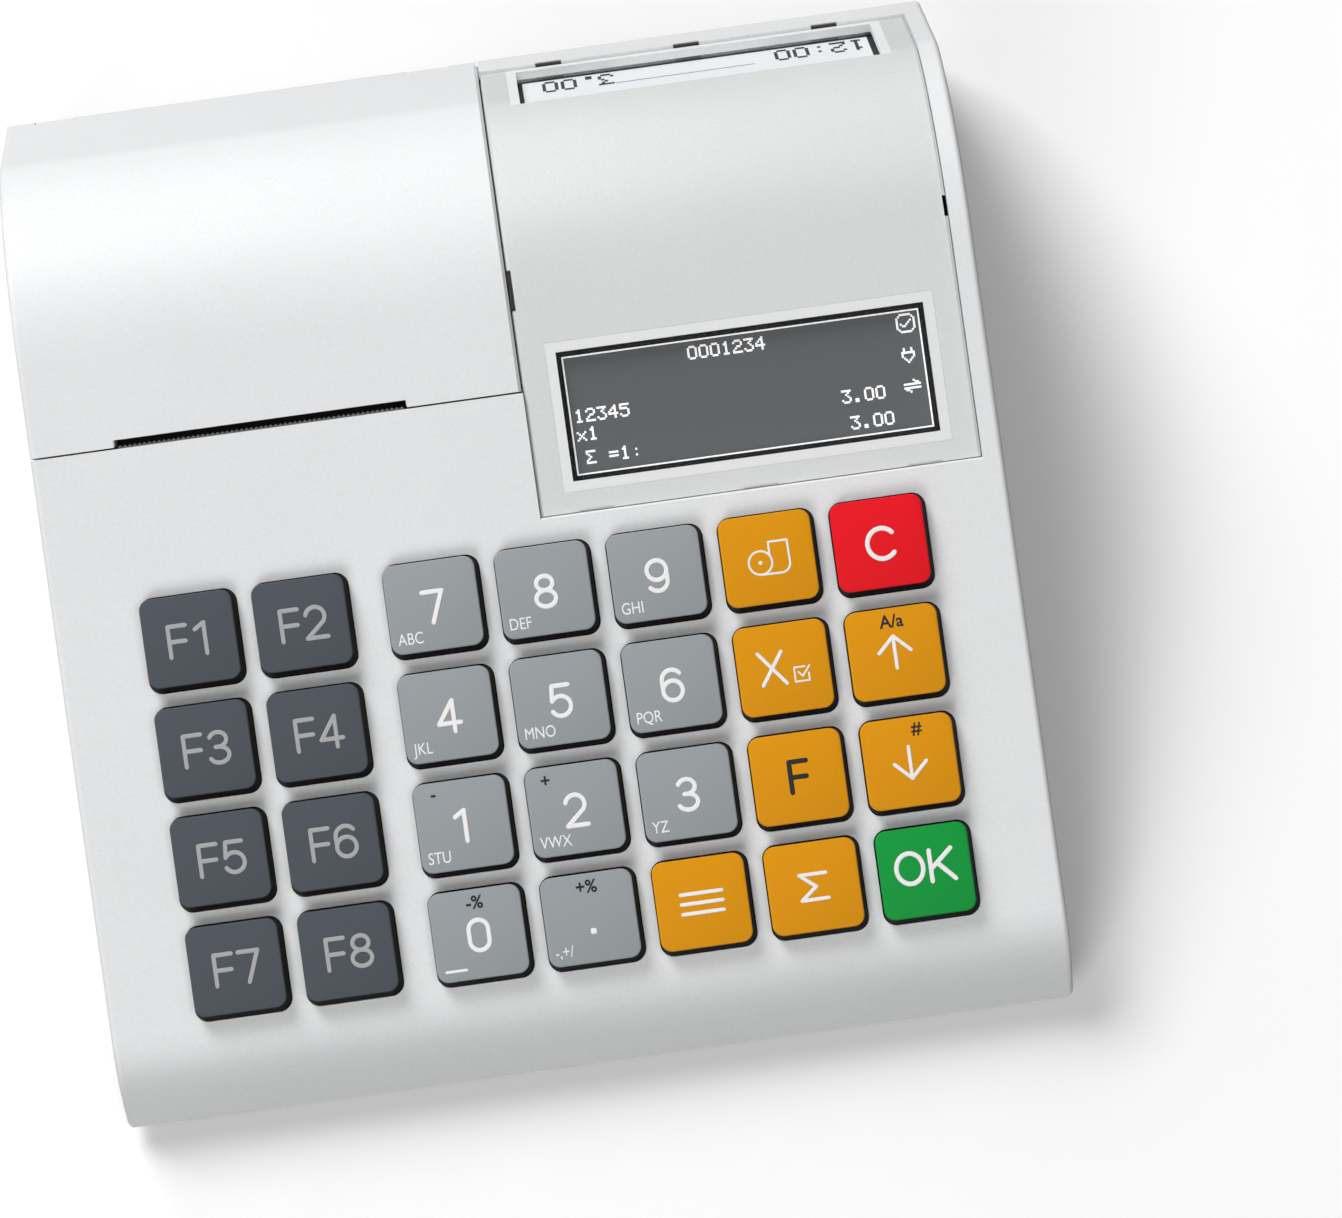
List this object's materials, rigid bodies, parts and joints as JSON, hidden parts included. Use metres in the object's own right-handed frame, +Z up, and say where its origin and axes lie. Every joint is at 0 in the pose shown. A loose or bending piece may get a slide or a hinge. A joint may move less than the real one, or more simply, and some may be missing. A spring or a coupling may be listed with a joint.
{
  "type": "ticket register",
  "caption": "Compact wedge-shaped receipt register with a sloping key deck, hinged printer cover and displays for operator and customer.",
  "frame": {"origin": "on the table under the centre of the case", "axes": "+X to the right seen from the operator, +Y from the operator to the rear, +Z up"},
  "size_m": [0.197, 0.2156, 0.0707],
  "materials": {
    "case_plastic": "fine satin grain",
    "cover_plastic": "fine satin grain",
    "bezel_plastic": "satin",
    "tray_plastic": "satin",
    "key_slate": "satin",
    "key_grey": "satin",
    "key_amber": "satin",
    "key_red": "satin",
    "key_green": "satin",
    "lens": "clear",
    "lcd": "flat dark glass",
    "silicone": "matte",
    "board": "solder mask",
    "dark_plastic": "moulded",
    "frame_steel": "galvanised sheet",
    "head_metal": "brushed",
    "spring_steel": "drawn wire",
    "platen_rubber": "ground",
    "shaft_steel": "ground",
    "bush_plastic": "moulded",
    "gear_plastic": "moulded",
    "pinion_brass": "machined",
    "motor_steel": "zinc plated",
    "blade_steel": "stamped",
    "paper": "smooth paper",
    "cell_wrap": "shrink sleeve",
    "foot_rubber": "matte",
    "screw_steel": "zinc plated"
  },
  "bodies": {
    "root": {"base_tray": "tray_plastic", "top_case": "case_plastic", "display_cover": "cover_plastic", "operator_bezel": "bezel_plastic", "customer_bezel": "bezel_plastic", "display_lenses": "lens", "operator_lcd": "lcd", "customer_lcd": "lcd", "keypad_mat": "silicone", "keyboard_board": "board", "main_board": "board", "paper_bucket": "dark_plastic", "printer_frame": "frame_steel", "print_head": "head_metal", "head_springs": "spring_steel", "feed_motor": "motor_steel", "tear_bar": "blade_steel", "hinge_pins": "shaft_steel", "battery_pack": "cell_wrap", "fiscal_module": "dark_plastic", "rear_sockets": "dark_plastic", "power_inlet": "dark_plastic", "rubber_feet": "foot_rubber", "screws": "screw_steel"},
    "cover": {"printer_cover": "case_plastic", "platen_bushes": "bush_plastic"},
    "platen": {"platen_roller": "platen_rubber", "platen_shaft": "shaft_steel", "platen_gear": "gear_plastic"},
    "reduction": {"reduction_gear": "gear_plastic"},
    "pinion": {"motor_pinion": "pinion_brass"},
    "roll": {"paper_roll": "paper"},
    "key_f7_body": {"key_f7": "key_slate"},
    "key_f8_body": {"key_f8": "key_slate"},
    "key_0_body": {"key_0": "key_grey"},
    "key_dot_body": {"key_dot": "key_grey"},
    "key_menu_body": {"key_menu": "key_amber"},
    "key_total_body": {"key_total": "key_amber"},
    "key_ok_body": {"key_ok": "key_green"},
    "key_f5_body": {"key_f5": "key_slate"},
    "key_f6_body": {"key_f6": "key_slate"},
    "key_1_body": {"key_1": "key_grey"},
    "key_2_body": {"key_2": "key_grey"},
    "key_3_body": {"key_3": "key_grey"},
    "key_function_body": {"key_function": "key_amber"},
    "key_down_body": {"key_down": "key_amber"},
    "key_f3_body": {"key_f3": "key_slate"},
    "key_f4_body": {"key_f4": "key_slate"},
    "key_4_body": {"key_4": "key_grey"},
    "key_5_body": {"key_5": "key_grey"},
    "key_6_body": {"key_6": "key_grey"},
    "key_correction_body": {"key_correction": "key_amber"},
    "key_up_body": {"key_up": "key_amber"},
    "key_f1_body": {"key_f1": "key_slate"},
    "key_f2_body": {"key_f2": "key_slate"},
    "key_7_body": {"key_7": "key_grey"},
    "key_8_body": {"key_8": "key_grey"},
    "key_9_body": {"key_9": "key_grey"},
    "key_paper_feed_body": {"key_paper_feed": "key_amber"},
    "key_clear_body": {"key_clear": "key_red"}
  },
  "joints": [
    {"name": "key_f7_press", "type": "slide", "parent": "root", "child": "key_f7_body", "axis": [0, 0.3256, -0.9455], "range_m": [0, 0.0018], "stiffness_N_per_m": 300, "springref_m": -0.001},
    {"name": "key_f8_press", "type": "slide", "parent": "root", "child": "key_f8_body", "axis": [0, 0.3256, -0.9455], "range_m": [0, 0.0018], "stiffness_N_per_m": 300, "springref_m": -0.001},
    {"name": "key_0_press", "type": "slide", "parent": "root", "child": "key_0_body", "axis": [0, 0.3256, -0.9455], "range_m": [0, 0.0018], "stiffness_N_per_m": 300, "springref_m": -0.001},
    {"name": "key_dot_press", "type": "slide", "parent": "root", "child": "key_dot_body", "axis": [0, 0.3256, -0.9455], "range_m": [0, 0.0018], "stiffness_N_per_m": 300, "springref_m": -0.001},
    {"name": "key_menu_press", "type": "slide", "parent": "root", "child": "key_menu_body", "axis": [0, 0.3256, -0.9455], "range_m": [0, 0.0018], "stiffness_N_per_m": 300, "springref_m": -0.001},
    {"name": "key_total_press", "type": "slide", "parent": "root", "child": "key_total_body", "axis": [0, 0.3256, -0.9455], "range_m": [0, 0.0018], "stiffness_N_per_m": 300, "springref_m": -0.001},
    {"name": "key_ok_press", "type": "slide", "parent": "root", "child": "key_ok_body", "axis": [0, 0.3256, -0.9455], "range_m": [0, 0.0018], "stiffness_N_per_m": 300, "springref_m": -0.001},
    {"name": "key_f5_press", "type": "slide", "parent": "root", "child": "key_f5_body", "axis": [0, 0.3256, -0.9455], "range_m": [0, 0.0018], "stiffness_N_per_m": 300, "springref_m": -0.001},
    {"name": "key_f6_press", "type": "slide", "parent": "root", "child": "key_f6_body", "axis": [0, 0.3256, -0.9455], "range_m": [0, 0.0018], "stiffness_N_per_m": 300, "springref_m": -0.001},
    {"name": "key_1_press", "type": "slide", "parent": "root", "child": "key_1_body", "axis": [0, 0.3256, -0.9455], "range_m": [0, 0.0018], "stiffness_N_per_m": 300, "springref_m": -0.001},
    {"name": "key_2_press", "type": "slide", "parent": "root", "child": "key_2_body", "axis": [0, 0.3256, -0.9455], "range_m": [0, 0.0018], "stiffness_N_per_m": 300, "springref_m": -0.001},
    {"name": "key_3_press", "type": "slide", "parent": "root", "child": "key_3_body", "axis": [0, 0.3256, -0.9455], "range_m": [0, 0.0018], "stiffness_N_per_m": 300, "springref_m": -0.001},
    {"name": "key_function_press", "type": "slide", "parent": "root", "child": "key_function_body", "axis": [0, 0.3256, -0.9455], "range_m": [0, 0.0018], "stiffness_N_per_m": 300, "springref_m": -0.001},
    {"name": "key_down_press", "type": "slide", "parent": "root", "child": "key_down_body", "axis": [0, 0.3256, -0.9455], "range_m": [0, 0.0018], "stiffness_N_per_m": 300, "springref_m": -0.001},
    {"name": "key_f3_press", "type": "slide", "parent": "root", "child": "key_f3_body", "axis": [0, 0.3256, -0.9455], "range_m": [0, 0.0018], "stiffness_N_per_m": 300, "springref_m": -0.001},
    {"name": "key_f4_press", "type": "slide", "parent": "root", "child": "key_f4_body", "axis": [0, 0.3256, -0.9455], "range_m": [0, 0.0018], "stiffness_N_per_m": 300, "springref_m": -0.001},
    {"name": "key_4_press", "type": "slide", "parent": "root", "child": "key_4_body", "axis": [0, 0.3256, -0.9455], "range_m": [0, 0.0018], "stiffness_N_per_m": 300, "springref_m": -0.001},
    {"name": "key_5_press", "type": "slide", "parent": "root", "child": "key_5_body", "axis": [0, 0.3256, -0.9455], "range_m": [0, 0.0018], "stiffness_N_per_m": 300, "springref_m": -0.001},
    {"name": "key_6_press", "type": "slide", "parent": "root", "child": "key_6_body", "axis": [0, 0.3256, -0.9455], "range_m": [0, 0.0018], "stiffness_N_per_m": 300, "springref_m": -0.001},
    {"name": "key_correction_press", "type": "slide", "parent": "root", "child": "key_correction_body", "axis": [0, 0.3256, -0.9455], "range_m": [0, 0.0018], "stiffness_N_per_m": 300, "springref_m": -0.001},
    {"name": "key_up_press", "type": "slide", "parent": "root", "child": "key_up_body", "axis": [0, 0.3256, -0.9455], "range_m": [0, 0.0018], "stiffness_N_per_m": 300, "springref_m": -0.001},
    {"name": "key_f1_press", "type": "slide", "parent": "root", "child": "key_f1_body", "axis": [0, 0.3256, -0.9455], "range_m": [0, 0.0018], "stiffness_N_per_m": 300, "springref_m": -0.001},
    {"name": "key_f2_press", "type": "slide", "parent": "root", "child": "key_f2_body", "axis": [0, 0.3256, -0.9455], "range_m": [0, 0.0018], "stiffness_N_per_m": 300, "springref_m": -0.001},
    {"name": "key_7_press", "type": "slide", "parent": "root", "child": "key_7_body", "axis": [0, 0.3256, -0.9455], "range_m": [0, 0.0018], "stiffness_N_per_m": 300, "springref_m": -0.001},
    {"name": "key_8_press", "type": "slide", "parent": "root", "child": "key_8_body", "axis": [0, 0.3256, -0.9455], "range_m": [0, 0.0018], "stiffness_N_per_m": 300, "springref_m": -0.001},
    {"name": "key_9_press", "type": "slide", "parent": "root", "child": "key_9_body", "axis": [0, 0.3256, -0.9455], "range_m": [0, 0.0018], "stiffness_N_per_m": 300, "springref_m": -0.001},
    {"name": "key_paper_feed_press", "type": "slide", "parent": "root", "child": "key_paper_feed_body", "axis": [0, 0.3256, -0.9455], "range_m": [0, 0.0018], "stiffness_N_per_m": 300, "springref_m": -0.001},
    {"name": "key_clear_press", "type": "slide", "parent": "root", "child": "key_clear_body", "axis": [0, 0.3256, -0.9455], "range_m": [0, 0.0018], "stiffness_N_per_m": 300, "springref_m": -0.001},
    {"name": "cover_hinge", "type": "hinge", "parent": "root", "child": "cover", "pos_m": [-0.04793, 0.10445, 0.02764], "axis": [-1, 0, 0], "range_deg": [0, 85]},
    {"name": "platen_spin", "type": "hinge", "parent": "cover", "child": "platen", "pos_m": [-0.05105, 0.02785, 0.05365], "axis": [1, 0, 0], "continuous": true},
    {"name": "reduction_spin", "type": "hinge", "parent": "root", "child": "reduction", "pos_m": [-0.086, 0.02245, 0.03775], "axis": [1, 0, 0], "continuous": true},
    {"name": "pinion_spin", "type": "hinge", "parent": "root", "child": "pinion", "pos_m": [-0.086, 0.01525, 0.02528], "axis": [1, 0, 0], "continuous": true},
    {"name": "roll_spin", "type": "hinge", "parent": "root", "child": "roll", "pos_m": [-0.05105, 0.06326, 0.03729], "axis": [1, 0, 0], "continuous": true}
  ],
  "couplings": [
    {"joint": "reduction_spin", "follows": "platen_spin", "ratio": -0.55556},
    {"joint": "pinion_spin", "follows": "platen_spin", "ratio": 1.6667}
  ]
}
